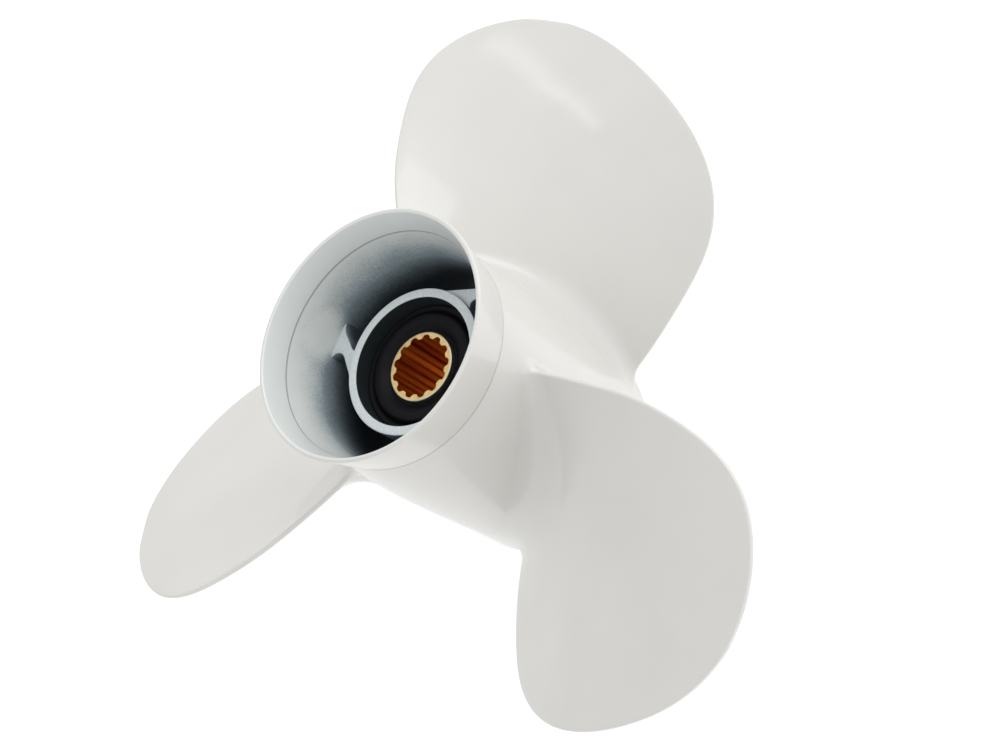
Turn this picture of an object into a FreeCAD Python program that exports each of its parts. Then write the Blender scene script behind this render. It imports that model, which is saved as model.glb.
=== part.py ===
import FreeCAD, Part

import math
import os

# Outboard propeller: three blades, right hand, exhaust through the hub.
# Z is the shaft axis and points aft.  Z = 0 is the forward end of the hub barrel.
# Lengths are in millimetres and angles in degrees.

# Hub barrel, up to the shoulder where the exhaust ring is pressed on
BARREL_OUTSIDE = [(41.6, 0.0), (42.0, 45.0), (41.6, 78.0), (39.8, 98.0)]  # (radius, z)
BARREL_BORE_R = 37.0
REGISTER_R = 38.2
REGISTER_LENGTH = 8.0
FLARE_START_Z = 92.0
SPIGOT_ROOT_R = 38.75
SPIGOT_TIP_R = 40.35
SPIGOT_MOUTH_R = 39.2
SPIGOT_END_Z = 108.0

# Exhaust ring
RIM_R = 43.4
RIM_Z = 117.2
RIM_WALL = 1.6
RIM_ROUND = 0.8

# Inner hub, with the lip that the rubber bush is pressed against
INNER_HUB_R = 26.0
INNER_HUB_BORE_R = 22.8
INNER_HUB_START_Z = 15.0
INNER_HUB_END_Z = 91.3
LIP_R = 19.5
LIP_THICKNESS = 3.0
END_CHAMFER = 0.4

# Ribs between the inner hub and the barrel
RIB_COUNT = 3
RIB_FIRST_ANGLE = 90.0
RIB_THICKNESS = 3.8
RIB_SLANT = 48.0        # from straight out; the web all but touches the inner hub on one side
RIB_FILLET = 2.6
RIB_START_Z = 18.0
RIB_END_Z = 89.3

# Blades
BLADE_COUNT = 3
PITCH = 318.5
BLADE_REFERENCE_Z = 48.9
RAKE = 12.3
RAKE_SAG = 3.8          # how far the rake line bends forward in SAG_SPAN
SAG_SPAN = 100.0
BLADE_STATIONS = [      # (radius, leading edge angle, trailing edge angle)
    (38.0, -47.2, 38.3),
    (60.0, -43.5, 34.5),
    (80.0, -40.0, 31.5),
    (100.0, -35.5, 28.0),
    (118.0, -26.0, 24.0),
    (131.0, -13.0, 18.5),
    (139.0, -3.5, 10.5),
]
TIP_R = 141.3
TIP_ANGLE = 3.5
ROOT_THICKNESS = 9.0
TIP_THICKNESS = 3.0
EDGE_THICKNESS = 1.6
HUMPS_PER_HALF_CHORD = 2.2  # how sharply the thickness falls from mid chord to the edges
NARROWEST_HUMP = 5.0        # degrees, near the tip
SLAB_FIRST_R = 36.0     # the slab that a blade is cut from starts inside the barrel
SLAB_FIRST_ANGLE = -60.0
SLAB_STEP = 10.0        # both in millimetres outward and in degrees round
SLAB_ROWS = 12

# Rubber bush
BUSH_FIT = 0.05         # radial clearance in the inner hub
BUSH_START_Z = 18.1
BUSH_BOSS_R = 16.0
BUSH_BOSS_Z = 14.5
BUSH_RIM_Z = 86.0
BUSH_GROOVE = [(21.3, 85.6), (20.2, 83.6), (19.2, 84.6)]
BUSH_COLLAR = [(19.2, 84.6), (16.8, 86.2), (13.6, 84.4)]
BUSH_BORE_Z = 84.0

# Splined sleeve
SLEEVE_R = 12.5
SLEEVE_START_Z = 12.0
SLEEVE_END_Z = 86.0
SPLINE_COUNT = 13
SPLINE_FIRST_ANGLE = 92.5
SPLINE_TIP_R = 10.0
SPLINE_ROOT_R = 11.3
SPLINE_WIDTH = 2.4
SPLINE_CORNER = 0.6
SPLINE_OVERCUT = 1.0    # how far a groove's cutter starts inside the bore

Z_AXIS = FreeCAD.Vector(0, 0, 1)
ORIGIN = FreeCAD.Vector(0, 0, 0)


def profile_point(radius, z):
    return FreeCAD.Vector(radius, 0, z)


def polar(radius, angle, z=0.0):
    turn = math.radians(angle)
    return FreeCAD.Vector(radius * math.cos(turn), radius * math.sin(turn), z)


def line(start, end):
    return Part.makeLine(start, end)


def arc(start, middle, end):
    return Part.Arc(start, middle, end).toShape()


def spline(points):
    curve = Part.BSplineCurve()
    curve.interpolate(points)
    return curve.toShape()


def polyline(points):
    return [line(a, b) for a, b in zip(points, points[1:])]


def turned(edges):
    """Solid of revolution about the shaft axis from a closed profile."""
    face = Part.Face(Part.Wire(Part.__sortEdges__(edges)))
    return face.revolve(ORIGIN, Z_AXIS, 360)


def barrel_outside_edge():
    return spline([profile_point(r, z) for r, z in BARREL_OUTSIDE])


def outer_barrel():
    """Hub tube with its forward register bore and the thin spigot at its aft end."""
    foot_r = BARREL_OUTSIDE[0][0]
    shoulder_r, shoulder_z = BARREL_OUTSIDE[-1]
    step = REGISTER_R - BARREL_BORE_R
    inside = [
        (shoulder_r, shoulder_z),
        (SPIGOT_ROOT_R, shoulder_z),
        (SPIGOT_TIP_R, SPIGOT_END_Z),
        (SPIGOT_MOUTH_R, SPIGOT_END_Z),
        (BARREL_BORE_R, FLARE_START_Z),
        (BARREL_BORE_R, REGISTER_LENGTH + step),
        (REGISTER_R, REGISTER_LENGTH),
        (REGISTER_R, 0.0),
        (foot_r, 0.0),
    ]
    points = [profile_point(r, z) for r, z in inside]
    return turned([barrel_outside_edge()] + polyline(points))


def exhaust_ring():
    """Flared ring over the spigot, with a rounded rim."""
    shoulder_r, shoulder_z = BARREL_OUTSIDE[-1]
    outer_lip = profile_point(RIM_R, RIM_Z - RIM_ROUND)
    inner_lip = profile_point(RIM_R - RIM_WALL, RIM_Z - RIM_ROUND)
    crown = profile_point(RIM_R - RIM_WALL / 2, RIM_Z)
    inside = [
        inner_lip,
        profile_point(SPIGOT_MOUTH_R, SPIGOT_END_Z),
        profile_point(SPIGOT_TIP_R, SPIGOT_END_Z),
        profile_point(SPIGOT_ROOT_R, shoulder_z),
        profile_point(shoulder_r, shoulder_z),
        outer_lip,
    ]
    return turned([arc(outer_lip, crown, inner_lip)] + polyline(inside))


def inner_hub():
    """Inner tube that holds the bush, with its stop lip at the forward end."""
    lip_z = INNER_HUB_START_Z + LIP_THICKNESS
    points = [
        (LIP_R, INNER_HUB_START_Z),
        (INNER_HUB_R - END_CHAMFER, INNER_HUB_START_Z),
        (INNER_HUB_R, INNER_HUB_START_Z + END_CHAMFER),
        (INNER_HUB_R, INNER_HUB_END_Z - END_CHAMFER),
        (INNER_HUB_R - END_CHAMFER, INNER_HUB_END_Z),
        (INNER_HUB_BORE_R + END_CHAMFER, INNER_HUB_END_Z),
        (INNER_HUB_BORE_R, INNER_HUB_END_Z - END_CHAMFER),
        (INNER_HUB_BORE_R, lip_z),
        (LIP_R, lip_z),
        (LIP_R, INNER_HUB_START_Z),
    ]
    return turned(polyline([profile_point(r, z) for r, z in points]))


def rib_corner(side, wall_r, outward):
    """Fillet between one face of the web and one round wall.

    side is +1 or -1 for the web's two faces, and outward is +1 at the barrel
    and -1 at the inner hub.  Returns the ends and the middle of its arc, from the wall.
    """
    slant = math.radians(RIB_SLANT)
    along = FreeCAD.Vector(math.sin(slant), math.cos(slant), 0)
    across = FreeCAD.Vector(math.cos(slant), -math.sin(slant), 0)
    web_middle = FreeCAD.Vector(0, (INNER_HUB_R + BARREL_BORE_R) / 2, 0)
    start = web_middle + across * (side * (RIB_THICKNESS / 2 + RIB_FILLET))
    centre_r = wall_r - outward * RIB_FILLET
    run = start.dot(along)
    travel = math.sqrt(run ** 2 - start.dot(start) + centre_r ** 2) - run
    centre = start + along * travel
    on_wall = centre * (wall_r / centre_r)
    on_web = centre - across * (side * RIB_FILLET)
    bisector = (on_wall - centre) + (on_web - centre)
    bisector.normalize()
    return on_wall, centre + bisector * RIB_FILLET, on_web


def rib(angle):
    """Web with a fillet at each corner, as one straight prism."""
    hub_left = rib_corner(-1, INNER_HUB_R, -1)
    hub_right = rib_corner(1, INNER_HUB_R, -1)
    wall_left = rib_corner(-1, BARREL_BORE_R, 1)
    wall_right = rib_corner(1, BARREL_BORE_R, 1)
    edges = [arc(*corner) for corner in (hub_left, hub_right, wall_left, wall_right)]
    edges.append(line(hub_left[2], wall_left[2]))
    edges.append(line(hub_right[2], wall_right[2]))
    edges.append(arc(hub_left[0], FreeCAD.Vector(0, INNER_HUB_R, 0), hub_right[0]))
    edges.append(arc(wall_left[0], FreeCAD.Vector(0, BARREL_BORE_R, 0), wall_right[0]))
    outline = Part.Wire(Part.__sortEdges__(edges))
    web = Part.Face(outline).extrude(Z_AXIS * (RIB_END_Z - RIB_START_Z))
    web.translate(Z_AXIS * RIB_START_Z)
    web.rotate(ORIGIN, Z_AXIS, angle - RIB_FIRST_ANGLE)
    return web


def between(low, high, share):
    return low + (high - low) * share


def edge_angles(radius):
    """Leading and trailing edge angles at a radius, between the nearest stations."""
    stations = BLADE_STATIONS + [(TIP_R, TIP_ANGLE, TIP_ANGLE)]
    for low, high in zip(stations, stations[1:]):
        if radius <= high[0]:
            share = (radius - low[0]) / (high[0] - low[0])
            return between(low[1], high[1], share), between(low[2], high[2], share)
    return TIP_ANGLE, TIP_ANGLE


def helicoid_z(radius, angle):
    """Height of the blade's middle surface: a helicoid raked aft."""
    span = radius - BARREL_OUTSIDE[0][0]
    rake = math.tan(math.radians(RAKE)) * span - RAKE_SAG * (span / SAG_SPAN) ** 2
    return BLADE_REFERENCE_Z + PITCH * angle / 360 + rake


def axial_thickness(radius, angle):
    """Thickness along Z, thick in the middle of the chord and thin at both edges."""
    leading, trailing = edge_angles(radius)
    middle = (leading + trailing) / 2
    spread = max((trailing - leading) / 2 / HUMPS_PER_HALF_CHORD, NARROWEST_HUMP)
    root_r = BARREL_OUTSIDE[0][0]
    share = min(max((radius - root_r) / (TIP_R - root_r), 0.0), 1.0)
    crest = between(ROOT_THICKNESS, TIP_THICKNESS, share) - EDGE_THICKNESS
    hump = math.exp(-(((angle - middle) / spread) ** 2) / 2)
    slope = PITCH / (2 * math.pi * radius)
    return (EDGE_THICKNESS + crest * hump) * math.sqrt(1 + slope ** 2)


def blade_slab():
    """Closed slab that follows the helicoid and reaches past the blade's outline."""
    radii = [SLAB_FIRST_R + SLAB_STEP * i for i in range(SLAB_ROWS)]
    angles = [SLAB_FIRST_ANGLE + SLAB_STEP * i for i in range(SLAB_ROWS)]
    lift = EDGE_THICKNESS / 2
    aft_rows = []
    forward_rows = []
    for radius in radii:
        aft = [polar(radius, a, helicoid_z(radius, a) + lift) for a in angles]
        aft_rows.append(aft)
        forward_rows.append([
            point - Z_AXIS * axial_thickness(radius, a) for point, a in zip(aft, angles)
        ])
    faces = []
    for rows in (aft_rows, forward_rows):
        surface = Part.BSplineSurface()
        surface.interpolate(rows)
        faces.append(surface.toShape())
    for upper, lower in zip(faces[0].Edges, faces[1].Edges):
        faces.append(Part.makeRuledSurface(upper, lower))
    shell = Part.makeShell(faces)
    shell.sewShape()
    slab = Part.makeSolid(Part.Shell(shell.Faces))
    if slab.Volume < 0:
        slab.reverse()
    return slab


def blade_outline_prism():
    """Upright prism of the blade's outline as seen along the shaft."""
    leading = [polar(r, angle) for r, angle, _ in BLADE_STATIONS]
    trailing = [polar(r, angle) for r, _, angle in reversed(BLADE_STATIONS)]
    points = leading + [polar(TIP_R, TIP_ANGLE)] + trailing
    outline = Part.Wire([spline(points), line(points[-1], points[0])])
    height = 2 * RIM_Z
    prism = Part.Face(outline).extrude(Z_AXIS * height)
    prism.translate(Z_AXIS * (RIM_Z - height))
    return prism


def barrel_core():
    """Everything inside the barrel's outer surface, to trim the blade roots."""
    foot_r = BARREL_OUTSIDE[0][0]
    shoulder_r, shoulder_z = BARREL_OUTSIDE[-1]
    rest = [
        profile_point(shoulder_r, shoulder_z),
        profile_point(shoulder_r, RIM_Z),
        profile_point(0, RIM_Z),
        profile_point(0, -RIM_Z),
        profile_point(foot_r, -RIM_Z),
        profile_point(foot_r, 0),
    ]
    return turned([barrel_outside_edge()] + polyline(rest))


def first_blade():
    return blade_slab().common(blade_outline_prism()).cut(barrel_core())


def rubber_bush():
    """Rubber tube with a front boss, and a groove and a rounded collar at its aft end."""
    outer_r = INNER_HUB_BORE_R - BUSH_FIT
    groove = [profile_point(r, z) for r, z in BUSH_GROOVE]
    collar = [profile_point(r, z) for r, z in BUSH_COLLAR]
    front = [
        collar[-1],
        profile_point(SLEEVE_R, BUSH_BORE_Z),
        profile_point(SLEEVE_R, BUSH_BOSS_Z),
        profile_point(BUSH_BOSS_R, BUSH_BOSS_Z),
        profile_point(BUSH_BOSS_R, BUSH_START_Z),
        profile_point(outer_r, BUSH_START_Z),
        profile_point(outer_r, BUSH_RIM_Z),
        groove[0],
    ]
    return turned(polyline(front) + [arc(*groove), arc(*collar)])


def spline_groove():
    """One groove, with rounded corners at its root, as tall as the sleeve."""
    half = SPLINE_WIDTH / 2
    inside_r = SPLINE_TIP_R - SPLINE_OVERCUT
    corner_y = half - SPLINE_CORNER
    corner_x = SPLINE_ROOT_R - SPLINE_CORNER
    bend = SPLINE_CORNER * math.sqrt(0.5)
    edges = [
        line(FreeCAD.Vector(inside_r, -half, 0), FreeCAD.Vector(corner_x, -half, 0)),
        line(FreeCAD.Vector(SPLINE_ROOT_R, -corner_y, 0), FreeCAD.Vector(SPLINE_ROOT_R, corner_y, 0)),
        line(FreeCAD.Vector(corner_x, half, 0), FreeCAD.Vector(inside_r, half, 0)),
        line(FreeCAD.Vector(inside_r, half, 0), FreeCAD.Vector(inside_r, -half, 0)),
    ]
    for side in (-1, 1):
        edges.append(arc(
            FreeCAD.Vector(corner_x, side * half, 0),
            FreeCAD.Vector(corner_x + bend, side * (corner_y + bend), 0),
            FreeCAD.Vector(SPLINE_ROOT_R, side * corner_y, 0),
        ))
    face = Part.Face(Part.Wire(Part.__sortEdges__(edges)))
    groove = face.extrude(Z_AXIS * (SLEEVE_END_Z - SLEEVE_START_Z))
    groove.translate(Z_AXIS * SLEEVE_START_Z)
    return groove


def spline_sleeve():
    """Brass tube with straight splines in its bore and a chamfer round each end."""
    points = [
        (SPLINE_TIP_R, SLEEVE_START_Z),
        (SLEEVE_R - END_CHAMFER, SLEEVE_START_Z),
        (SLEEVE_R, SLEEVE_START_Z + END_CHAMFER),
        (SLEEVE_R, SLEEVE_END_Z - END_CHAMFER),
        (SLEEVE_R - END_CHAMFER, SLEEVE_END_Z),
        (SPLINE_TIP_R, SLEEVE_END_Z),
        (SPLINE_TIP_R, SLEEVE_START_Z),
    ]
    sleeve = turned(polyline([profile_point(r, z) for r, z in points]))
    groove = spline_groove()
    grooves = []
    for i in range(SPLINE_COUNT):
        copy = groove.copy()
        copy.rotate(ORIGIN, Z_AXIS, SPLINE_FIRST_ANGLE + 360 * i / SPLINE_COUNT)
        grooves.append(copy)
    return sleeve.cut(grooves)


def rotated_copies(shape, count):
    copies = []
    for i in range(count):
        copy = shape.copy()
        copy.rotate(ORIGIN, Z_AXIS, 360 * i / count)
        copies.append(copy)
    return copies


def build():
    nodes = {
        "outer_barrel": outer_barrel(),
        "exhaust_ring": exhaust_ring(),
        "inner_hub": inner_hub(),
        "rubber_bush": rubber_bush(),
        "spline_sleeve": spline_sleeve(),
    }
    for i, shape in enumerate(rotated_copies(rib(RIB_FIRST_ANGLE), RIB_COUNT), 1):
        nodes["rib_%d" % i] = shape
    for i, shape in enumerate(rotated_copies(first_blade(), BLADE_COUNT), 1):
        nodes["blade_%d" % i] = shape
    return nodes


os.makedirs("parts", exist_ok=True)
for name, shape in build().items():
    if shape.ShapeType == "Compound" and len(shape.Solids) == 1:
        shape = shape.Solids[0]
    print(name, shape.ShapeType, shape.isValid(), round(shape.Volume))
    shape.exportStep("parts/" + name + ".step")
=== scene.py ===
import math

import bmesh
import bpy
from mathutils import Matrix, Quaternion, Vector


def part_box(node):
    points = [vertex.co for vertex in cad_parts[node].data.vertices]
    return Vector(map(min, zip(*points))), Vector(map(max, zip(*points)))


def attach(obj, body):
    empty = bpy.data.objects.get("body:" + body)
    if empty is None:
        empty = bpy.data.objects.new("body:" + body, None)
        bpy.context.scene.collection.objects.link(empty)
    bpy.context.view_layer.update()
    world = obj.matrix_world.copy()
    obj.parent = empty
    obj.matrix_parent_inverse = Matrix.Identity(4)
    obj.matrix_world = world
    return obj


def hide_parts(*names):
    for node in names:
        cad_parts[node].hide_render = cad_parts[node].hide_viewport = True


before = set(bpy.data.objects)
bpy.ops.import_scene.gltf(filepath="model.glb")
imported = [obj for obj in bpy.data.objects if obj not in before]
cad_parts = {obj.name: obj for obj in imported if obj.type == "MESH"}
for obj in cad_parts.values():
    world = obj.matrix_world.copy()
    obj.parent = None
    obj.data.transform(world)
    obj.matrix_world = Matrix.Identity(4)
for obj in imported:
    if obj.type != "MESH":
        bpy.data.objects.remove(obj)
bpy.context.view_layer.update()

# The part stands on the forward end of its hub: Z is the shaft axis and points aft.
# Sizes are in millimetres here, and become metres where they are used. Angles are in degrees.
MM = 0.001
ROUND_STEPS = 256       # faces round a turned piece
CORNER_STEPS = 6        # faces in a rounded corner
SMOOTH_ANGLE = 35.0     # edges that turn more than this stay sharp
WELD = 0.002            # points nearer than this become one
NEAR = 0.02             # lengths nearer than this count as the same
TINY = 1e-6             # keeps a chord of no length from dividing by zero
SEARCH_STEPS = 60       # steps of a search along a curve


def size_of(node):
    """Outer radius, lowest and highest point of a round CAD node, in millimetres."""
    low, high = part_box(node)
    return (high[0] - low[0]) / 2 / MM, low[2] / MM, high[2] / MM


# Hub barrel and exhaust ring
BARREL_OUTSIDE = [(41.6, 0.0), (42.0, 45.0), (41.6, 78.0), (39.8, 98.0)]  # (radius, height)
BARREL_STEPS = 32       # steps along the barrel's outside
ROOT_R = BARREL_OUTSIDE[0][0]
SHOULDER_R = BARREL_OUTSIDE[-1][0]
BARREL_BORE_R = 37.0
REGISTER_R = 38.2
REGISTER_LENGTH = 8.0
REGISTER_EDGE = 0.6
FLARE_START_Z = 92.0
FLARE_BEND = 12.0
SPIGOT_MOUTH_R = 39.2
SPIGOT_END_Z = size_of("outer_barrel")[2]
SPIGOT_END_WIDTH = 1.1
SPIGOT_EDGE = 0.15
RIM_R, SEAM_Z, RIM_Z = size_of("exhaust_ring")
RIM_WALL = 1.6
RIM_ROUND = 0.78        # a little less than half of the wall
RIM_EXTRA = 0.05        # the rim's corner is this much wider, as its rounding takes some off
RING_GAP = 0.05         # between the ring and the spigot's end
SEAM_WIDTH = 1.05       # of the shoulder that the ring sits on
SEAM_CHAMFER = 0.25
CAST_EDGE = 0.8         # rounding of a cast edge
BROKEN_EDGE = 0.5       # rounding of an edge that is only broken

# Brass sleeve
SLEEVE_R, SLEEVE_START_Z, SLEEVE_END_Z = size_of("spline_sleeve")
SLEEVE_CHAMFER = 0.5
SPLINE_COUNT = 13
SPLINE_FIRST_ANGLE = 92.5   # middle of a groove
SPLINE_TIP_R = 10.0
SPLINE_ROOT_R = 11.3
SPLINE_ROUND = 0.9
SPLINE_ROUND_STEPS = 6      # faces in the rounding of a tooth
TOOTH_STEPS = 2             # faces across a tooth
GROOVE_STEPS = 2            # faces across a groove
SAME_SHARE = 0.01           # shares of the tooth spacing nearer than this count as the same

# Inner hub and rubber bush
INNER_HUB_R, INNER_HUB_START_Z, INNER_HUB_END_Z = size_of("inner_hub")
INNER_HUB_BORE_R = 22.8
INNER_HUB_BORE_EDGE = 0.35
LIP_R = 19.5
LIP_THICKNESS = 3.0
LIP_CORNER = 0.4
LIP_EDGE = 0.3
BUSH_R, BUSH_BOSS_Z, BUSH_TOP_Z = size_of("rubber_bush")
BUSH_BORE_R = SLEEVE_R + 0.02
BUSH_BOSS_R = 16.0
BUSH_SHOULDER_Z = 18.1
BUSH_BORE_EDGE = 0.3
BUSH_EDGE = 0.8
BUSH_FACE = [           # the aft face, from its rim over a soft collar: (radius, height, rounding)
    (BUSH_R, 84.9, 0.5), (20.4, 84.1, 1.0), (19.2, BUSH_TOP_Z, 1.7), (16.2, BUSH_TOP_Z, 2.4),
    (13.3, 83.9, 0.8), (BUSH_BORE_R, 83.9, 0.2),
]

# Ribs: their outline looks along the shaft, as (to the right, straight out, rounding)
RIB_COUNT = 3
RIB_FIRST_ANGLE = 90.0
RIB_START_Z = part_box("rib_1")[0][2] / MM
RIB_END_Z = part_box("rib_1")[1][2] / MM
RIB_EDGE = 0.5
RIB_EDGE_STEPS = 3      # faces in the rounding of a rib's end
RIB_OUTLINE = [
    (-14.2, 20.4, 0), (-14.6, 21.2, 0), (4.6, 37.0, 3.2), (-5.0, 37.1, 0),
    (-5.2, 38.3, 0), (4.5, 38.5, 0), (13.6, 36.2, 0), (13.0, 35.0, 0),
    (8.3, 36.3, 6.0), (-1.6, 26.2, 2.1), (4.8, 25.5, 0), (4.7, 24.5, 0), (-5.0, 24.4, 0),
]

# Blades
BLADE_COUNT = 3
PITCH = 318.5
BLADE_REFERENCE_Z = 48.9
RAKE = 12.3
RAKE_SAG = 3.8          # how far the rake line bends forward in SAG_SPAN
SAG_SPAN = 100.0
BLADE_OUTLINE = [       # control points (angle, radius), leading edge root to trailing edge root
    (-47.3, 38.8), (-40.8, 74.0), (-38.6, 94.3), (-29.7, 115.7), (-13.3, 130.8), (3.0, 146.4),
    (22.0, 131.2), (27.8, 101.2), (32.6, 76.7), (33.3, 64.0), (38.4, 38.6),
]
OUTLINE_DEGREE = 3
TIP_BETWEEN = (0.3, 0.7)    # shares of the outline between which the tip lies
ROOT_THICKNESS = 9.0
TIP_THICKNESS = 3.2
THICKNESS_TAPER = 0.8   # below 1 the blade thins faster near its root
HUMP_SHARPNESS = 1.3    # above 1 the hump of the forward face draws in to mid chord
EDGE_R = 0.9
LEADING_FILLET = 6.0
TRAILING_FILLET = 4.5
AFT_FILLET = 13.0       # at its widest, the hollow sweep from the barrel up the pushing face
AFT_FULLNESS = 0.9      # below 1 the fillet keeps its size nearer to the blade's edges
AFT_SKEW = 1.0          # at 1 it is widest at mid chord, and below 1 nearer to the leading edge
FORWARD_FILLET = 12.5
FORWARD_FULLNESS = 0.35
FORWARD_SKEW = 1.3
SPAN_ROWS = 44
CHORD_CELLS = 32
NOSE_CELLS = 7
FILLET_ROWS = 24
FOOT_CROWDING = 1.4     # above 1 the rows of a fillet crowd towards its foot
TIP_CROWDING = 2        # above 1 the rows of a blade crowd towards its tip
ROOT_SINK = 1.2         # how deep the blade's foot is set into the barrel wall
ROOT_PROUD = 0.01       # how far the foot of the fillet stands off the barrel

# Stray spray in the duct: an amount that falls with depth, and how much of the metal it covers
SPRAY_DEEP_Z = 75
SPRAY_DEEP = 0.06           # amount at that depth
SPRAY_MOUTH_Z = 106
SPECK_SIZE, SPECK_AMOUNT = 0.7, 0.32
CLOUD_SIZE, CLOUD_AMOUNT = 14, 0.25
PAINTED_LIGHT_SIDE = Vector((-0.92, -0.38, 0))  # the side of the duct painted lighter: painted light falling from that side
RIB_ROOT_TURN = 4.6         # how far a rib's outer end lies back from its angle
HALO_RISE = 5               # how far aft of the rib's end its halo of spray is centred
HALO_START, HALO_END = 3, 12            # distances between which the halo fades
BARE_AMOUNT, FULL_AMOUNT = 0.22, 1.25   # amounts that cover nothing and everything
VEIL_COVER = 0.6            # cover up to which the spray is only a grey veil
PAINTED_SHADE_BORE_R = INNER_HUB_BORE_R + 0.1    # painted shade: the inner hub's bore is drawn black out to here
DUSTED_R = INNER_HUB_BORE_R + 0.4       # and dusted like the rest from here

# Hairlines at the joints
HAIRLINE_START, HAIRLINE_END = 0.2, 0.4     # distances between which a line fades
OUTER_HAIRLINE, INNER_HAIRLINE = 0.72, 0.5  # share of the paint's colour that is left in them

# Surface relief and node sockets
RELIEF = 0.05               # height of the finest ripples
SHARE, FIRST, SECOND, MIXED = 0, 6, 7, 2    # sockets of a node that mixes two colours

# Camera and studio light
CAMERA_AZIMUTH = -18.9
CAMERA_ELEVATION = 51.02
CAMERA_ROLL = -56.8
CAMERA_AIM = (10.9, -5.3, 50.0)
CAMERA_DISTANCE = 498.7
CAMERA_LENS = 50.96
SENSOR_WIDTH = 36
CAMERA_NEAR = 10
FLOOR_SIZE = 6000
HORIZON_GLOW = 1.0
HORIZON_HEIGHT = 0.4        # where the horizon's glow has faded, as a share of straight up
DOME_GLOW = 0.70
ZENITH_GLOW = 0.87
STRIP_AIM = (113, 5, 66)
STRIP_DISTANCE = 1200
STRIP_WIDTH = 24


# --- Mesh tools -------------------------------------------------------------------------

def start_piece(name):
    """Names the object that was just added."""
    piece = bpy.context.object
    piece.name = name
    piece.data.name = name
    return piece


def finish_piece(piece, body, material, nodes):
    """Settles a piece's place, shading, material and the CAD nodes that it stands for."""
    bpy.ops.object.select_all(action="DESELECT")
    piece.select_set(True)
    bpy.context.view_layer.objects.active = piece
    bpy.ops.object.transform_apply(location=True, rotation=True, scale=True)
    bpy.ops.object.mode_set(mode="EDIT")
    bpy.ops.mesh.select_all(action="SELECT")
    bpy.ops.mesh.remove_doubles(threshold=WELD * MM)
    bpy.ops.mesh.normals_make_consistent(inside=False)
    bpy.ops.object.mode_set(mode="OBJECT")
    bpy.ops.object.shade_smooth_by_angle(angle=math.radians(SMOOTH_ANGLE))
    piece.data.materials.clear()
    piece.data.materials.append(material)
    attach(piece, body)
    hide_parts(*nodes)


def rounded_profile(corners):
    """Closed profile from (radius, height, rounding) corners, each rounding as an arc."""
    points = []
    for i, (radius, height, rounding) in enumerate(corners):
        corner = Vector((radius, height))
        if rounding == 0:
            points.append(corner)
            continue
        before = Vector(corners[i - 1][:2]) - corner
        after = Vector(corners[(i + 1) % len(corners)][:2]) - corner
        half = before.angle(after) / 2
        reach = rounding / math.tan(half)
        inward = (before.normalized() + after.normalized()).normalized()
        centre = corner + inward * (rounding / math.sin(half))
        start = corner + before.normalized() * reach - centre
        end = corner + after.normalized() * reach - centre
        turn = start.angle_signed(end)
        for step in range(CORNER_STEPS + 1):
            swing = Matrix.Rotation(-turn * step / CORNER_STEPS, 2)
            points.append(centre + swing @ start)
    return points


def turned_piece(name, profile, steps=ROUND_STEPS):
    """Ring turned on the shaft axis: its closed profile is drawn out from a circle."""
    bpy.ops.object.select_all(action="DESELECT")
    radius, height = profile[0]
    bpy.ops.mesh.primitive_circle_add(vertices=steps, radius=radius * MM, location=(0, 0, height * MM))
    piece = start_piece(name)
    bpy.ops.object.mode_set(mode="EDIT")
    for next_radius, next_height in list(profile[1:]) + [profile[0]]:
        grow = next_radius / radius
        bpy.ops.mesh.extrude_region_move()
        bpy.ops.transform.resize(value=(grow, grow, 1), center_override=(0, 0, 0))
        bpy.ops.transform.translate(value=(0, 0, (next_height - height) * MM))
        radius, height = next_radius, next_height
    bpy.ops.object.mode_set(mode="OBJECT")
    return piece


def pick_edges(piece, wanted):
    """Selects the edges in edit mode whose two end points pass the test."""
    bpy.ops.mesh.select_all(action="DESELECT")
    mesh = bmesh.from_edit_mesh(piece.data)
    for edge in mesh.edges:
        edge.select_set(wanted(edge.verts[0].co, edge.verts[1].co))
    bmesh.update_edit_mesh(piece.data)


# --- Hub --------------------------------------------------------------------------------

def barrel_radius(height):
    """Outer radius of the barrel: the cubic through its four points."""
    total = 0.0
    for radius, z in BARREL_OUTSIDE:
        weight = 1.0
        for _, other in BARREL_OUTSIDE:
            if other != z:
                weight *= (height - other) / (z - other)
        total += radius * weight
    return total


def outer_barrel():
    """Turned barrel: the forward register, the duct that flares aft, and the ring's spigot."""
    step = REGISTER_R - BARREL_BORE_R
    corners = [
        (ROOT_R, 0.0, CAST_EDGE),
        (REGISTER_R, 0.0, REGISTER_EDGE),
        (REGISTER_R, REGISTER_LENGTH, BROKEN_EDGE),
        (BARREL_BORE_R, REGISTER_LENGTH + step, BROKEN_EDGE),
        (BARREL_BORE_R, FLARE_START_Z, FLARE_BEND),
        (SPIGOT_MOUTH_R, SPIGOT_END_Z, SPIGOT_EDGE),
        (SPIGOT_MOUTH_R + SPIGOT_END_WIDTH, SPIGOT_END_Z, 0),
        (SHOULDER_R - SEAM_WIDTH, SEAM_Z, 0),
        (SHOULDER_R, SEAM_Z, SEAM_CHAMFER),
    ]
    profile = rounded_profile(corners)
    for i in range(1, BARREL_STEPS):
        height = SEAM_Z * (1 - i / BARREL_STEPS)
        profile.append(Vector((barrel_radius(height), height)))
    return turned_piece("barrel_casting", profile)


def exhaust_ring():
    """Flared ring on the barrel's spigot, with a rounded rim."""
    corners = [
        (SHOULDER_R, SEAM_Z, SEAM_CHAMFER),
        (RIM_R + RIM_EXTRA, RIM_Z, RIM_ROUND),
        (RIM_R - RIM_WALL, RIM_Z, RIM_ROUND),
        (SPIGOT_MOUTH_R, SPIGOT_END_Z, SPIGOT_EDGE),
        (SPIGOT_MOUTH_R + SPIGOT_END_WIDTH + RING_GAP, SPIGOT_END_Z, 0),
        (SHOULDER_R - SEAM_WIDTH, SEAM_Z, 0),
    ]
    return turned_piece("flared_ring", rounded_profile(corners))


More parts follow.
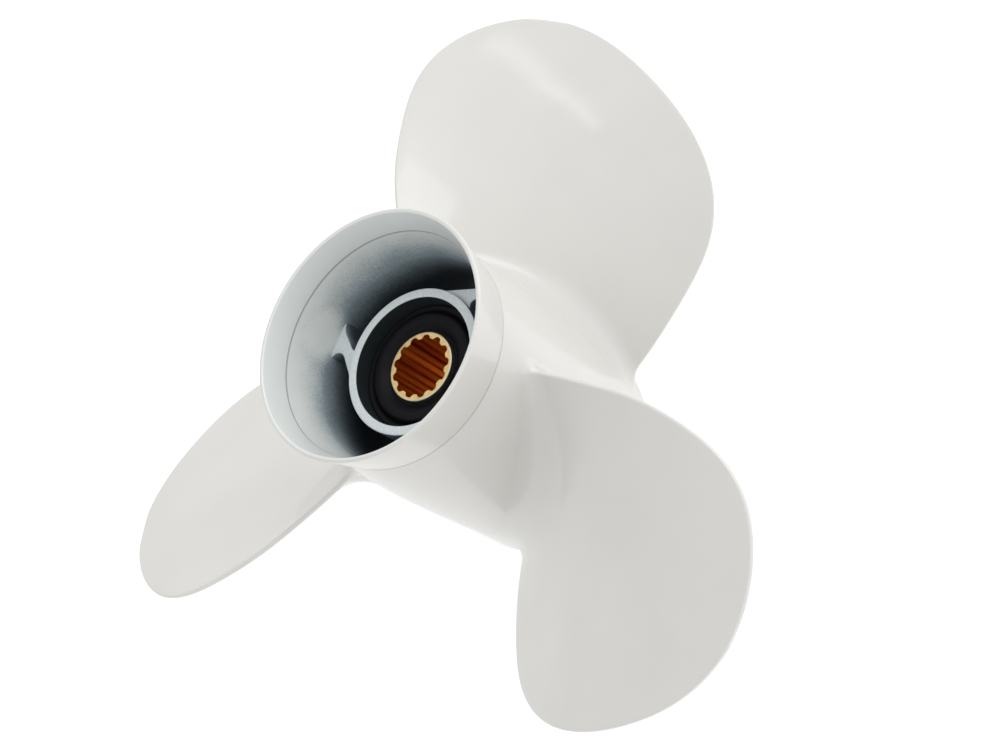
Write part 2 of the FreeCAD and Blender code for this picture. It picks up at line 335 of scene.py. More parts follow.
def inner_hub():
    """Turned tube round the bush, with a lip at its forward end."""
    lip_z = INNER_HUB_START_Z + LIP_THICKNESS
    corners = [
        (LIP_R, INNER_HUB_START_Z, BROKEN_EDGE),
        (INNER_HUB_R, INNER_HUB_START_Z, CAST_EDGE),
        (INNER_HUB_R, INNER_HUB_END_Z, BROKEN_EDGE),
        (INNER_HUB_BORE_R, INNER_HUB_END_Z, INNER_HUB_BORE_EDGE),
        (INNER_HUB_BORE_R, lip_z, LIP_CORNER),
        (LIP_R, lip_z, LIP_EDGE),
    ]
    return turned_piece("inner_hub_casting", rounded_profile(corners))


def rubber_bush():
    """Turned bush: a boss at its forward end and a soft collar at its aft end."""
    corners = [
        (BUSH_BORE_R, BUSH_BOSS_Z, BUSH_BORE_EDGE),
        (BUSH_BOSS_R, BUSH_BOSS_Z, BUSH_EDGE),
        (BUSH_BOSS_R, BUSH_SHOULDER_Z, BUSH_EDGE),
        (BUSH_R, BUSH_SHOULDER_Z, BUSH_EDGE),
    ]
    return turned_piece("rubber_bush_moulding", rounded_profile(corners + BUSH_FACE))


def rib(number):
    """Slanted web: its outline is filled, drawn out along the shaft and softened at its end."""
    outline = rounded_profile(RIB_OUTLINE)
    bpy.ops.object.select_all(action="DESELECT")
    bpy.ops.mesh.primitive_circle_add(vertices=len(outline), radius=INNER_HUB_R * MM, fill_type="NGON")
    piece = start_piece("cast_rib_%d" % number)
    for vertex, point in zip(piece.data.vertices, outline):
        vertex.co = Vector((point.x, point.y, RIB_START_Z)) * MM
    bpy.ops.object.mode_set(mode="EDIT")
    bpy.ops.mesh.extrude_region_move()
    bpy.ops.transform.translate(value=(0, 0, (RIB_END_Z - RIB_START_Z) * MM))
    bpy.ops.mesh.select_mode(type="EDGE")
    pick_edges(piece, lambda a, b: min(a.z, b.z) > (RIB_END_Z - RIB_EDGE) * MM)
    bpy.ops.mesh.bevel(offset=RIB_EDGE * MM, segments=RIB_EDGE_STEPS, affect="EDGES")
    bpy.ops.object.mode_set(mode="OBJECT")
    piece.rotation_euler.z = 2 * math.pi * (number - 1) / RIB_COUNT
    return piece


def spline_sleeve():
    """Turned tube whose teeth are drawn inward from its bore."""
    corners = [
        (SPLINE_ROOT_R, SLEEVE_START_Z, 0),
        (SLEEVE_R, SLEEVE_START_Z, SLEEVE_CHAMFER),
        (SLEEVE_R, SLEEVE_END_Z, SLEEVE_CHAMFER),
        (SPLINE_ROOT_R, SLEEVE_END_Z, 0),
    ]
    steps = (TOOTH_STEPS + GROOVE_STEPS) * SPLINE_COUNT
    groove_edge = GROOVE_STEPS / (TOOTH_STEPS + GROOVE_STEPS) / 2
    piece = turned_piece("brass_sleeve", rounded_profile(corners), steps)
    step = 2 * math.pi / SPLINE_COUNT
    first = piece.data.vertices[0].co
    first_angle = math.atan2(first.y, first.x)

    def from_groove(x, y):
        """Angle from the middle of the nearest groove, as a share of the tooth spacing."""
        angle = math.atan2(y, x) - first_angle
        return abs((angle / step + 0.5) % 1 - 0.5)

    def is_corner(a, b):
        """Whether an edge runs along the shaft at the corner of a tooth or a groove."""
        upright = abs(a.x - b.x) + abs(a.y - b.y) < NEAR * MM
        radius = math.hypot(a.x, a.y) / MM
        on_bore = min(abs(radius - SPLINE_ROOT_R), abs(radius - SPLINE_TIP_R)) < NEAR
        return upright and on_bore and abs(from_groove(a.x, a.y) - groove_edge) < SAME_SHARE

    bpy.ops.object.transform_apply(location=True, rotation=True, scale=True)
    bpy.ops.object.mode_set(mode="EDIT")
    bpy.ops.mesh.select_all(action="SELECT")
    bpy.ops.mesh.remove_doubles(threshold=WELD * MM)
    bpy.ops.mesh.normals_make_consistent(inside=False)
    bpy.ops.mesh.select_mode(type="FACE")
    mesh = bmesh.from_edit_mesh(piece.data)
    for face in mesh.faces:
        middle = face.calc_center_median()
        in_bore = math.hypot(middle.x, middle.y) < (SPLINE_ROOT_R + NEAR) * MM
        face.select_set(in_bore and from_groove(middle.x, middle.y) > groove_edge)
    bmesh.update_edit_mesh(piece.data)
    grow = SPLINE_TIP_R / SPLINE_ROOT_R
    bpy.ops.mesh.extrude_region_move()
    bpy.ops.transform.resize(value=(grow, grow, 1), center_override=(0, 0, 0))
    bpy.ops.mesh.select_mode(type="EDGE")
    pick_edges(piece, is_corner)
    bpy.ops.mesh.bevel(offset=SPLINE_ROUND * MM, segments=SPLINE_ROUND_STEPS, affect="EDGES")
    bpy.ops.object.mode_set(mode="OBJECT")
    piece.rotation_euler.z = math.radians(SPLINE_FIRST_ANGLE) - first_angle
    return piece


# --- Blades -----------------------------------------------------------------------------

def outline_point(share):
    """Point (angle, radius) on the blade's outline: a clamped cubic B-spline."""
    spans = len(BLADE_OUTLINE) - OUTLINE_DEGREE
    place = share * spans
    span = min(int(place), spans - 1)
    clamps = [0.0] * OUTLINE_DEGREE, [float(spans)] * OUTLINE_DEGREE
    knots = clamps[0] + [float(k) for k in range(spans + 1)] + clamps[1]
    work = [Vector(point) for point in BLADE_OUTLINE[span:span + OUTLINE_DEGREE + 1]]
    for level in range(1, OUTLINE_DEGREE + 1):
        for j in range(OUTLINE_DEGREE, level - 1, -1):
            low = knots[span + j]
            high = knots[span + j + OUTLINE_DEGREE + 1 - level]
            mix = (place - low) / (high - low)
            work[j] = work[j - 1] * (1 - mix) + work[j] * mix
    return work[OUTLINE_DEGREE]


def outline_tip():
    """Share of the outline where the radius is greatest."""
    low, high = TIP_BETWEEN
    for _ in range(SEARCH_STEPS):
        third = (high - low) / 3
        if outline_point(low + third)[1] < outline_point(high - third)[1]:
            low += third
        else:
            high -= third
    return (low + high) / 2


TIP_SHARE = outline_tip()
TIP_R = outline_point(TIP_SHARE)[1]


def edge_angle(radius, root_share):
    """Angle of one edge at a radius. root_share is 0 for the leading edge, 1 for the trailing."""
    root, tip = root_share, TIP_SHARE
    for _ in range(SEARCH_STEPS):
        middle = (root + tip) / 2
        if outline_point(middle)[1] < radius:
            root = middle
        else:
            tip = middle
    return math.radians(outline_point((root + tip) / 2)[0])


def section(radius, tip_gap):
    """Closed blade section at a radius, as (arc length, height) points of the unrolled cylinder."""
    leading = edge_angle(radius, 0.0)
    trailing = edge_angle(radius, 1.0)
    rise = PITCH / (2 * math.pi)
    span = radius - ROOT_R
    rake = math.tan(math.radians(RAKE)) * span - RAKE_SAG * (span / SAG_SPAN) ** 2
    start = Vector((radius * leading, BLADE_REFERENCE_Z + rise * leading + rake))
    end = Vector((radius * trailing, BLADE_REFERENCE_Z + rise * trailing + rake))
    chord = (end - start).length
    along = (end - start).normalized() if chord > TINY else Vector((1.0, 0.0))
    up = Vector((-along.y, along.x))
    share = min(max(span / (TIP_R - ROOT_R), 0.0), 1.0)
    crest = ROOT_THICKNESS + (TIP_THICKNESS - ROOT_THICKNESS) * share ** THICKNESS_TAPER
    nose = min(EDGE_R, chord / 4)
    places = [nose * (1 - math.cos(math.pi / 2 * i / NOSE_CELLS)) for i in range(NOSE_CELLS)]
    places += [nose + (chord - 2 * nose) * i / CHORD_CELLS for i in range(CHORD_CELLS + 1)]
    places += [chord - x for x in reversed(places[:NOSE_CELLS])]
    tip_round = math.sqrt(max(0.0, 1 - (1 - min(tip_gap / EDGE_R, 1.0)) ** 2))
    aft_side, forward_side = [], []
    for x in places:
        gap = min(x, chord - x)
        edge_round = math.sqrt(max(0.0, 1 - (1 - min(gap / max(nose, TINY), 1.0)) ** 2))
        hump = math.sin(math.pi * min(max(x / max(chord, TINY), 0.0), 1.0)) ** HUMP_SHARPNESS
        round_off = edge_round * tip_round
        base = start + along * x
        aft_side.append(base + up * (EDGE_R * round_off))
        forward_side.append(base - up * ((EDGE_R + (crest - 2 * EDGE_R) * hump) * round_off))
    return aft_side + forward_side[-2:0:-1]


def root_fillets():
    """Fillet radius at each point of a section, in the order that section() gives them."""
    count = CHORD_CELLS + 2 * NOSE_CELLS + 1
    rounds = []
    sides = ((AFT_FILLET, AFT_FULLNESS, AFT_SKEW), (FORWARD_FILLET, FORWARD_FULLNESS, FORWARD_SKEW))
    for widest, fullness, skew in sides:
        side = []
        for i in range(count):
            share = min(max((i - NOSE_CELLS) / CHORD_CELLS, 0.0), 1.0)
            ends = LEADING_FILLET + (TRAILING_FILLET - LEADING_FILLET) * share
            rise = widest - (LEADING_FILLET + TRAILING_FILLET) / 2
            side.append(ends + rise * math.sin(math.pi * share ** skew) ** fullness)
        rounds.append(side)
    return rounds[0] + rounds[1][-2:0:-1]


def swollen(loop, distances):
    """The loop with each point moved straight outward by its own distance."""
    moved = []
    for i, point in enumerate(loop):
        tangent = (loop[(i + 1) % len(loop)] - loop[i - 1]).normalized()
        moved.append(point + Vector((-tangent.y, tangent.x)) * distances[i])
    return moved


def rolled(point, section_r, radius):
    """A point of the unrolled cylinder, rolled back round the shaft at a radius."""
    angle = point.x / section_r
    return Vector((radius * math.cos(angle), radius * math.sin(angle), point.y)) * MM


def blade_rows():
    """Rows of points from the blade's foot inside the barrel wall to its tip."""
    hub_r = barrel_radius(BLADE_REFERENCE_Z)
    fillets = root_fillets()
    rows = []
    for i in range(FILLET_ROWS + 1):
        height = AFT_FILLET * (1 - math.cos(math.pi / 2 * (i / FILLET_ROWS) ** FOOT_CROWDING))
        section_r = hub_r + height
        spreads = []
        for fillet in fillets:
            reach = min(height, fillet)
            spreads.append(fillet - math.sqrt(2 * fillet * reach - reach ** 2))
        row = []
        for point in swollen(section(section_r, TIP_R - section_r), spreads):
            hollow = (barrel_radius(point.y) - hub_r) * (1 - height / AFT_FILLET)
            row.append(rolled(point, section_r, section_r + hollow + ROOT_PROUD))
        rows.append(row)
    foot = rows[0]
    sunk = [p - Vector((p.x, p.y, 0)).normalized() * (ROOT_SINK * MM) for p in foot]
    spine = [(point + sunk[-i]) / 2 for i, point in enumerate(sunk)]
    first_gap = TIP_R - hub_r - AFT_FILLET
    for i in range(1, SPAN_ROWS + 1):
        gap = first_gap * (1 - i / SPAN_ROWS) ** TIP_CROWDING
        radius = TIP_R - gap
        rows.append([rolled(point, radius, radius) for point in section(radius, gap)])
    return [spine, sunk] + rows


def blade(number, rows):
    """One blade: a sheet of faces rolled round its sections, from foot to tip."""
    bpy.ops.object.select_all(action="DESELECT")
    across, along = len(rows[0]), len(rows)
    bpy.ops.mesh.primitive_grid_add(x_subdivisions=across, y_subdivisions=along - 1, size=1)
    piece = start_piece("cast_blade_%d" % number)
    turn = Matrix.Rotation(2 * math.pi * (number - 1) / BLADE_COUNT, 4, "Z")
    for index, vertex in enumerate(piece.data.vertices):
        row, column = divmod(index, across + 1)
        vertex.co = turn @ rows[row][column % across]
    return piece


# --- Stage ------------------------------------------------------------------------------

def add_camera():
    """Long view down into the aft end, rolled as a hand-held part is."""
    azimuth = math.radians(CAMERA_AZIMUTH)
    elevation = math.radians(CAMERA_ELEVATION)
    roll = Quaternion((0, 0, 1), math.radians(CAMERA_ROLL))
    back = Vector((
        math.sin(azimuth) * math.cos(elevation),
        -math.cos(azimuth) * math.cos(elevation),
        math.sin(elevation),
    ))
    data = bpy.data.cameras.new("camera")
    data.lens = CAMERA_LENS
    data.sensor_width = SENSOR_WIDTH
    data.clip_start = CAMERA_NEAR * MM
    camera = bpy.data.objects.new("camera", data)
    camera.location = (Vector(CAMERA_AIM) + back * CAMERA_DISTANCE) * MM
    camera.rotation_mode = "QUATERNION"
    camera.rotation_quaternion = (-back).to_track_quat("-Z", "Y") @ roll
    bpy.context.scene.collection.objects.link(camera)
    bpy.context.scene.camera = camera


def add_floor(material):
    """Level ground under the part."""
    bpy.ops.mesh.primitive_plane_add(size=FLOOR_SIZE * MM, location=(0, 0, 0))
    floor = bpy.context.object
    floor.name = "floor"
    floor.data.materials.append(material)


def add_softbox(name, aim, direction, along, distance, size, power):
    """Rectangular studio light, seen from its aim in one direction, its length laid along another."""
    data = bpy.data.lights.new(name, "AREA")
    data.shape = "RECTANGLE"
    data.size, data.size_y = Vector(size) * MM
    data.energy = power
    light = bpy.data.objects.new(name, data)
    back = Vector(direction).normalized()
    up = back.cross(Vector(along)).normalized()
    turn = Matrix((up.cross(back), up, back)).transposed()
    place = (Vector(aim) + back * distance) * MM
    light.matrix_world = Matrix.Translation(place) @ turn.to_4x4()
    bpy.context.scene.collection.objects.link(light)


def add_world():
    """White dome, brighter overhead, that also whitens where it meets the floor."""
    world = bpy.data.worlds.new("studio")
    world.use_nodes = True
    tree = world.node_tree
    tree.nodes.clear()
    outward = add_node(tree, "ShaderNodeTexCoord", {}).outputs["Generated"]
    height = add_node(tree, "ShaderNodeSeparateXYZ", {0: outward}).outputs["Z"]
    overhead = add_node(tree, "ShaderNodeMapRange", {
        "Value": height, "To Min": DOME_GLOW, "To Max": ZENITH_GLOW,
    }).outputs["Result"]
    horizon = add_node(tree, "ShaderNodeMapRange", {
        "Value": height, "From Max": HORIZON_HEIGHT, "To Min": HORIZON_GLOW, "To Max": DOME_GLOW,
    }).outputs["Result"]
    glow = add_node(tree, "ShaderNodeMath", {0: overhead, 1: horizon}, operation="MAXIMUM").outputs[0]
    dome = add_node(tree, "ShaderNodeBackground", {"Color": srgb("#ffffff"), "Strength": glow})
    add_node(tree, "ShaderNodeOutputWorld", {0: dome.outputs[0]})
    bpy.context.scene.world = world
    bpy.context.scene.view_settings.view_transform = "Standard"


def add_lights():
    """One large softbox, and two narrow strips end to end that put a streak across one blade."""
    add_softbox(
        "key_softbox", aim=(0, 0, 60), direction=(0.75, -0.30, 0.60), along=(0.3, 0.75, 0),
        distance=1400, size=(950, 950), power=6.7,
    )
    add_softbox(
        "near_strip", aim=STRIP_AIM, direction=(0.235, -0.095, 0.967), along=(0.79, 0.61, 0),
        distance=STRIP_DISTANCE, size=(260, STRIP_WIDTH), power=0.11,
    )
    add_softbox(
        "far_strip", aim=STRIP_AIM, direction=(0.063, -0.194, 0.979), along=(0.94, 0.35, 0),
        distance=STRIP_DISTANCE, size=(240, STRIP_WIDTH), power=0.10,
    )


# --- Materials --------------------------------------------------------------------------

def srgb(code):
    """Linear colour from an sRGB hex code."""
    channels = [int(code[i:i + 2], 16) / 255 for i in (1, 3, 5)]
    linear = [c / 12.92 if c <= 0.04045 else ((c + 0.055) / 1.055) ** 2.4 for c in channels]
    return (*linear, 1.0)


def per_mm(size):
    """Texture scale, in cells for each metre, for a pattern of a size in millimetres."""
    return 1 / (size * MM)


def start_material(name):
    """A new material with no nodes, and its node tree."""
    material = bpy.data.materials.new(name)
    material.use_nodes = True
    material.node_tree.nodes.clear()
    return material, material.node_tree


def add_node(tree, kind, inputs, **settings):
    """Adds a node. Each input, by name or number, takes a value or another node's output."""
    node = tree.nodes.new(kind)
    for name, value in settings.items():
        setattr(node, name, value)
    for socket, value in inputs.items():
        if isinstance(value, bpy.types.NodeSocket):
            tree.links.new(value, node.inputs[socket])
        else:
            node.inputs[socket].default_value = value
    return node


def from_axis(tree, place):
    """The vector from the shaft axis straight out to a place, and its length."""
    outward = add_node(tree, "ShaderNodeVectorMath", {
        0: place, 1: (1, 1, 0),
    }, operation="MULTIPLY").outputs[0]
    radius = add_node(tree, "ShaderNodeVectorMath", {0: outward}, operation="LENGTH").outputs["Value"]
    return outward, radius


def sprayed_enamel(name, on_hub=False):
    """Gloss enamel sprayed on a fettled aluminium casting: off-white, with a fine orange peel.

    On the hub, hairlines show where the ring meets the barrel, and on the faces that look
    inward the spray thins out down the exhaust duct until the dark casting shows through. One side
    of the duct is painted lighter: painted light.
    """
    material, tree = start_material(name)
    coordinates = add_node(tree, "ShaderNodeTexCoord", {})
    place = coordinates.outputs["Object"]
    # Uneven film: the tone drifts a little over 30 mm
    drift = add_node(tree, "ShaderNodeTexNoise", {"Vector": place, "Scale": per_mm(30), "Detail": 2.0})
    colour = add_node(tree, "ShaderNodeMix", {
        SHARE: drift.outputs["Fac"], FIRST: srgb("#dddcd8"), SECOND: srgb("#d5d4d0"),
    }, data_type="RGBA").outputs[MIXED]
    gloss = add_node(tree, "ShaderNodeMapRange", {
        "Value": drift.outputs["Fac"], "To Min": 0.26, "To Max": 0.34,
    }).outputs["Result"]
    if on_hub:
        height = add_node(tree, "ShaderNodeSeparateXYZ", {0: place}).outputs["Z"]
        outward, radius = from_axis(tree, place)
        radial = add_node(tree, "ShaderNodeVectorMath", {0: outward}, operation="NORMALIZE")
        facing = add_node(tree, "ShaderNodeVectorMath", {
            0: radial.outputs[0], 1: coordinates.outputs["Normal"],
        }, operation="DOT_PRODUCT").outputs["Value"]
        outside = add_node(tree, "ShaderNodeMapRange", {
            "Value": facing, "From Min": -0.6, "From Max": -0.2,
        }).outputs["Result"]
        # Inside the duct: spray that fades with depth, and painted light on one side of the duct
        inside = overspray(tree, place, height, srgb("#e4e8e6"), amount=0.98, gathers=0.4, painted_light_lean=0.14)
        colour = add_node(tree, "ShaderNodeMix", {
            SHARE: outside, FIRST: inside, SECOND: colour,
        }, data_type="RGBA").outputs[MIXED]
        gloss = add_node(tree, "ShaderNodeMix", {"Factor": outside, "A": 0.5, "B": gloss}).outputs[0]
        colour = joint_hairlines(tree, radius, height, colour)
    # Orange peel: ripples of 1.3 mm
    peel = add_node(tree, "ShaderNodeTexNoise", {"Vector": place, "Scale": per_mm(1.3), "Detail": 1.0})
    bump = add_node(tree, "ShaderNodeBump", {
        "Height": peel.outputs["Fac"], "Strength": 0.3, "Distance": RELIEF * MM,
    })
    shader = add_node(tree, "ShaderNodeBsdfPrincipled", {
        "Base Color": colour, "Roughness": gloss, "Normal": bump.outputs[0], "IOR": 1.5,
        "Coat Weight": 0.45, "Coat Roughness": 0.08,
    })
    add_node(tree, "ShaderNodeOutputMaterial", {0: shader.outputs[0]})
    return material


def joint_hairlines(tree, radius, height, colour):
    """The colour with a dark hairline where the ring meets the barrel, outside and inside."""
    section = add_node(tree, "ShaderNodeCombineXYZ", {"X": radius, "Z": height}).outputs[0]
    outer_joint = (SHOULDER_R, 0, SEAM_Z)
    inner_joint = (SPIGOT_MOUTH_R, 0, SPIGOT_END_Z)
    for joint, left in ((outer_joint, OUTER_HAIRLINE), (inner_joint, INNER_HAIRLINE)):
        gap = add_node(tree, "ShaderNodeVectorMath", {
            0: section, 1: Vector(joint) * MM,
        }, operation="DISTANCE").outputs["Value"]
        clear = add_node(tree, "ShaderNodeMapRange", {
            "Value": gap, "From Min": HAIRLINE_START * MM, "From Max": HAIRLINE_END * MM, "To Min": left,
        }).outputs["Result"]
        colour = add_node(tree, "ShaderNodeMix", {
            SHARE: clear, FIRST: srgb("#3a3c3c"), SECOND: colour,
        }, data_type="RGBA").outputs[MIXED]
    return colour


def overspray(tree, place, height, paint, amount, gathers, painted_light_lean=0.0):
    """Colour of a dark casting dusted with stray spray, less and less with depth.

    The thickest spray has the paint's colour. amount is the spray at the duct's mouth, gathers
    adds some round the outer ends of the ribs, and the last argument paints one side of the duct lighter:
    painted light from that side.
    """
    speck = add_node(tree, "ShaderNodeTexNoise", {
        "Vector": place, "Scale": per_mm(SPECK_SIZE), "Detail": 3.0,
    })
    cloud = add_node(tree, "ShaderNodeTexNoise", {
        "Vector": place, "Scale": per_mm(CLOUD_SIZE), "Detail": 2.0,
    })
    spray = add_node(tree, "ShaderNodeMapRange", {
        "Value": height, "From Min": SPRAY_DEEP_Z * MM, "From Max": SPRAY_MOUTH_Z * MM,
        "To Min": SPRAY_DEEP, "To Max": amount,
    }, clamp=False).outputs["Result"]
    for noise, weight in ((speck, SPECK_AMOUNT), (cloud, CLOUD_AMOUNT)):
        spray = add_node(tree, "ShaderNodeMath", {
            0: noise.outputs["Fac"], 1: weight, 2: spray,
        }, operation="MULTIPLY_ADD").outputs[0]
    # Painted light: one side of the duct is drawn lighter, as if lit from that side
    if painted_light_lean:
        side = add_node(tree, "ShaderNodeVectorMath", {
            0: place, 1: PAINTED_LIGHT_SIDE * (painted_light_lean / (BARREL_BORE_R * MM)),
        }, operation="DOT_PRODUCT").outputs["Value"]
        spray = add_node(tree, "ShaderNodeMath", {0: spray, 1: side}).outputs[0]
    for i in range(RIB_COUNT):
        angle = math.radians(RIB_FIRST_ANGLE - RIB_ROOT_TURN + 360 * i / RIB_COUNT)
        root = Vector((math.cos(angle), math.sin(angle), 0)) * BARREL_BORE_R
        root.z = RIB_END_Z + HALO_RISE
        gap = add_node(tree, "ShaderNodeVectorMath", {0: place, 1: root * MM}, operation="DISTANCE")
        halo = add_node(tree, "ShaderNodeMapRange", {
            "Value": gap.outputs["Value"], "From Min": HALO_START * MM, "From Max": HALO_END * MM,
            "To Min": gathers, "To Max": 0.0,
        }, interpolation_type="SMOOTHSTEP").outputs["Result"]
        spray = add_node(tree, "ShaderNodeMath", {0: spray, 1: halo}).outputs[0]
    cover = add_node(tree, "ShaderNodeMapRange", {
        "Value": spray, "From Min": BARE_AMOUNT, "From Max": FULL_AMOUNT,
    }, interpolation_type="SMOOTHSTEP").outputs["Result"]
    thin = add_node(tree, "ShaderNodeMapRange", {"Value": cover, "From Max": VEIL_COVER}).outputs["Result"]
    thick = add_node(tree, "ShaderNodeMapRange", {"Value": cover, "From Min": VEIL_COVER}).outputs["Result"]
    veil = add_node(tree, "ShaderNodeMix", {
        SHARE: thin, FIRST: srgb("#2e3840"), SECOND: srgb("#99a7ae"),
    }, data_type="RGBA").outputs[MIXED]
    return add_node(tree, "ShaderNodeMix", {
        SHARE: thick, FIRST: veil, SECOND: paint,
    }, data_type="RGBA").outputs[MIXED]


def dusted_casting():
    """Dark aluminium casting that only caught spray on the faces that look aft."""
    material, tree = start_material("dusted_casting")
    coordinates = add_node(tree, "ShaderNodeTexCoord", {})
    place = coordinates.outputs["Object"]
    height = add_node(tree, "ShaderNodeSeparateXYZ", {0: place}).outputs["Z"]
    facing = add_node(tree, "ShaderNodeSeparateXYZ", {0: coordinates.outputs["Normal"]}).outputs["Z"]
    sides = overspray(tree, place, height, srgb("#dde0e0"), amount=0.12, gathers=0.7)
    # Painted shade: the bore round the bush, down in its recess, is drawn nearly black
    radius = from_axis(tree, place)[1]
    past_bore = add_node(tree, "ShaderNodeMapRange", {
        "Value": radius, "From Min": PAINTED_SHADE_BORE_R * MM, "From Max": DUSTED_R * MM,
    }).outputs["Result"]
    sides = add_node(tree, "ShaderNodeMix", {
        SHARE: past_bore, FIRST: srgb("#21282a"), SECOND: sides,
    }, data_type="RGBA").outputs[MIXED]
    grain = add_node(tree, "ShaderNodeTexNoise", {
        "Vector": place, "Scale": per_mm(SPECK_SIZE), "Detail": 3.0,
    })
    face = add_node(tree, "ShaderNodeMix", {
        SHARE: grain.outputs["Fac"], FIRST: srgb("#b9c1c5"), SECOND: srgb("#e4e9eb"),
    }, data_type="RGBA").outputs[MIXED]
    caught = add_node(tree, "ShaderNodeMapRange", {
        "Value": facing, "From Min": 0.15, "From Max": 0.75,
    }, interpolation_type="SMOOTHSTEP").outputs["Result"]
    colour = add_node(tree, "ShaderNodeMix", {
        SHARE: caught, FIRST: sides, SECOND: face,
    }, data_type="RGBA").outputs[MIXED]
    bump = add_node(tree, "ShaderNodeBump", {
        "Height": grain.outputs["Fac"], "Strength": 0.35, "Distance": RELIEF * MM,
    })
    shader = add_node(tree, "ShaderNodeBsdfPrincipled", {
        "Base Color": colour, "Roughness": 0.5, "Normal": bump.outputs[0], "IOR": 1.5,
    })
    add_node(tree, "ShaderNodeOutputMaterial", {0: shader.outputs[0]})
    return material


def moulded_rubber():
    """Carbon black rubber from a steel mould: near black with a dull bluish sheen."""
    material, tree = start_material("moulded_rubber")
    place = add_node(tree, "ShaderNodeTexCoord", {}).outputs["Object"]
    bloom = add_node(tree, "ShaderNodeTexNoise", {"Vector": place, "Scale": per_mm(3), "Detail": 4.0})
    colour = add_node(tree, "ShaderNodeMix", {
        SHARE: bloom.outputs["Fac"], FIRST: srgb("#08080b"), SECOND: srgb("#101115"),
    }, data_type="RGBA").outputs[MIXED]
    dull = add_node(tree, "ShaderNodeMapRange", {
        "Value": bloom.outputs["Fac"], "To Min": 0.42, "To Max": 0.6,
    }).outputs["Result"]
    bump = add_node(tree, "ShaderNodeBump", {
        "Height": bloom.outputs["Fac"], "Strength": 0.2, "Distance": RELIEF * MM,
    })
    shader = add_node(tree, "ShaderNodeBsdfPrincipled", {
        "Base Color": colour, "Roughness": dull, "Normal": bump.outputs[0],
        "IOR": 1.5, "Specular IOR Level": 0.14,
    })
    add_node(tree, "ShaderNodeOutputMaterial", {0: shader.outputs[0]})
    return material


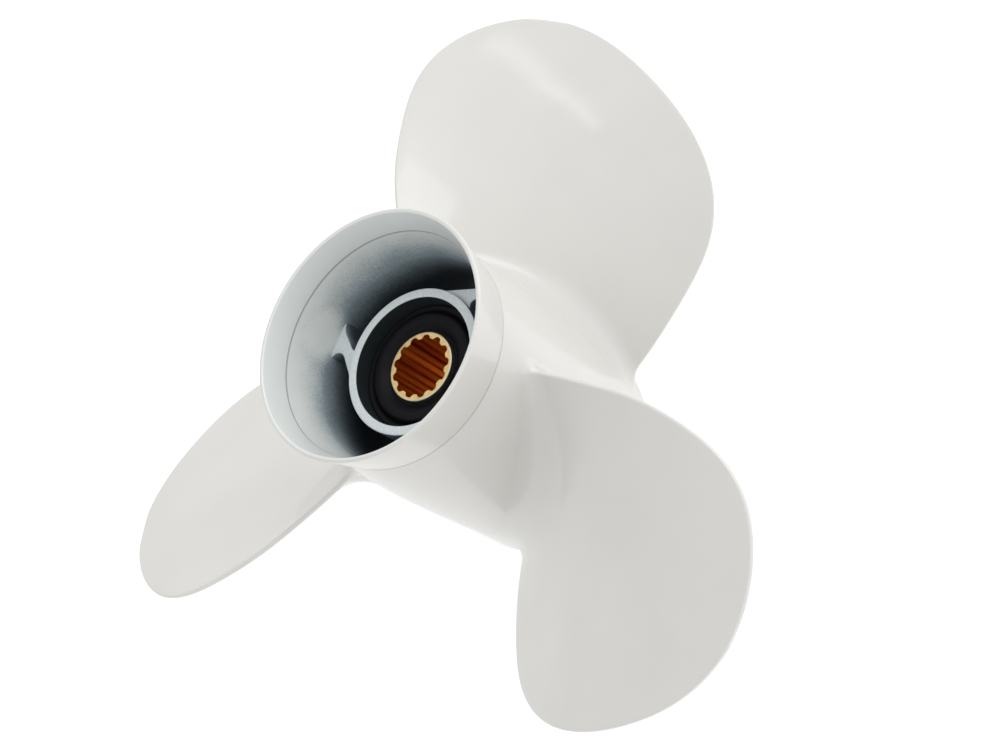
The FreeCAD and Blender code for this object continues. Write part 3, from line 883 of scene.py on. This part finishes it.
def broached_brass():
    """Machined brass: bright faced ends, and a bore with broach marks along the splines, drawn deeper
    orange as painted reflection of light bouncing round it.
    """
    material, tree = start_material("broached_brass")
    coordinates = add_node(tree, "ShaderNodeTexCoord", {})
    place = coordinates.outputs["Object"]
    facing = add_node(tree, "ShaderNodeSeparateXYZ", {0: coordinates.outputs["Normal"]}).outputs["Z"]
    # Broach marks: bands of 3 mm with finer marks in them, along the whole bore; their bright streaks are
    # also painted highlight
    drawn = add_node(tree, "ShaderNodeMapping", {"Vector": place, "Scale": (1.0, 1.0, 0.01)})
    marks = add_node(tree, "ShaderNodeTexNoise", {
        "Vector": drawn.outputs[0], "Scale": per_mm(3), "Detail": 4.0,
    })
    broach_and_highlight_streaks = add_node(tree, "ShaderNodeMapRange", {
        "Value": marks.outputs["Fac"], "From Min": 0.4, "From Max": 0.62,
    }).outputs["Result"]
    # Painted reflection: the bore is drawn a deeper, redder orange than the faced ends
    bore = add_node(tree, "ShaderNodeMix", {
        SHARE: broach_and_highlight_streaks, FIRST: srgb("#bc7434"), SECOND: srgb("#ffc46a"),
    }, data_type="RGBA").outputs[MIXED]
    # Faced ends: handling marks of 1.5 mm on the turned face
    faced = add_node(tree, "ShaderNodeTexNoise", {"Vector": place, "Scale": per_mm(1.5), "Detail": 3.0})
    end = add_node(tree, "ShaderNodeMix", {
        SHARE: faced.outputs["Fac"], FIRST: srgb("#cf9f58"), SECOND: srgb("#ffe8aa"),
    }, data_type="RGBA").outputs[MIXED]
    on_end = add_node(tree, "ShaderNodeMapRange", {
        "Value": facing, "From Min": 0.3, "From Max": 0.7,
    }).outputs["Result"]
    colour = add_node(tree, "ShaderNodeMix", {
        SHARE: on_end, FIRST: bore, SECOND: end,
    }, data_type="RGBA").outputs[MIXED]
    # The chamfered outer edge is drawn paler
    paler_chamfer = add_node(tree, "ShaderNodeMapRange", {
        "Value": from_axis(tree, place)[1],
        "From Min": (SLEEVE_R - 2 * SLEEVE_CHAMFER) * MM, "From Max": SLEEVE_R * MM,
    }).outputs["Result"]
    colour = add_node(tree, "ShaderNodeMix", {
        SHARE: paler_chamfer, FIRST: colour, SECOND: srgb("#d6d3c6"),
    }, data_type="RGBA").outputs[MIXED]
    dull = add_node(tree, "ShaderNodeMapRange", {
        "Value": marks.outputs["Fac"], "To Min": 0.22, "To Max": 0.42,
    }).outputs["Result"]
    bump = add_node(tree, "ShaderNodeBump", {
        "Height": marks.outputs["Fac"], "Strength": 0.3, "Distance": RELIEF * MM,
    })
    shader = add_node(tree, "ShaderNodeBsdfPrincipled", {
        "Base Color": colour, "Metallic": 1.0, "Roughness": dull, "Normal": bump.outputs[0],
    })
    add_node(tree, "ShaderNodeOutputMaterial", {0: shader.outputs[0]})
    return material


def light_table():
    """Opal acrylic table lit softly from below, so that the ground stays pale under the blades."""
    material, tree = start_material("light_table")
    place = add_node(tree, "ShaderNodeTexCoord", {}).outputs["Object"]
    haze = add_node(tree, "ShaderNodeTexNoise", {"Vector": place, "Scale": per_mm(200)})
    colour = add_node(tree, "ShaderNodeMix", {
        SHARE: haze.outputs["Fac"], FIRST: srgb("#bababa"), SECOND: srgb("#bebebe"),
    }, data_type="RGBA").outputs[MIXED]
    shader = add_node(tree, "ShaderNodeBsdfPrincipled", {
        "Base Color": colour, "Roughness": 0.9, "Specular IOR Level": 0.1,
        "Emission Color": srgb("#ffffff"), "Emission Strength": 0.66,
    })
    add_node(tree, "ShaderNodeOutputMaterial", {0: shader.outputs[0]})
    return material


# --- Assembly ---------------------------------------------------------------------------

add_camera()
add_floor(light_table())
add_world()
add_lights()

blade_enamel = sprayed_enamel("sprayed_enamel")
hub_enamel = sprayed_enamel("sprayed_enamel_hub", on_hub=True)
casting = dusted_casting()
finish_piece(outer_barrel(), "casting", hub_enamel, ["outer_barrel"])
finish_piece(exhaust_ring(), "casting", hub_enamel, ["exhaust_ring"])
finish_piece(inner_hub(), "casting", casting, ["inner_hub"])
finish_piece(rubber_bush(), "drive", moulded_rubber(), ["rubber_bush"])
finish_piece(spline_sleeve(), "drive", broached_brass(), ["spline_sleeve"])
for number in range(1, RIB_COUNT + 1):
    finish_piece(rib(number), "casting", casting, ["rib_%d" % number])
span_rows = blade_rows()
for number in range(1, BLADE_COUNT + 1):
    finish_piece(blade(number, span_rows), "casting", blade_enamel, ["blade_%d" % number])
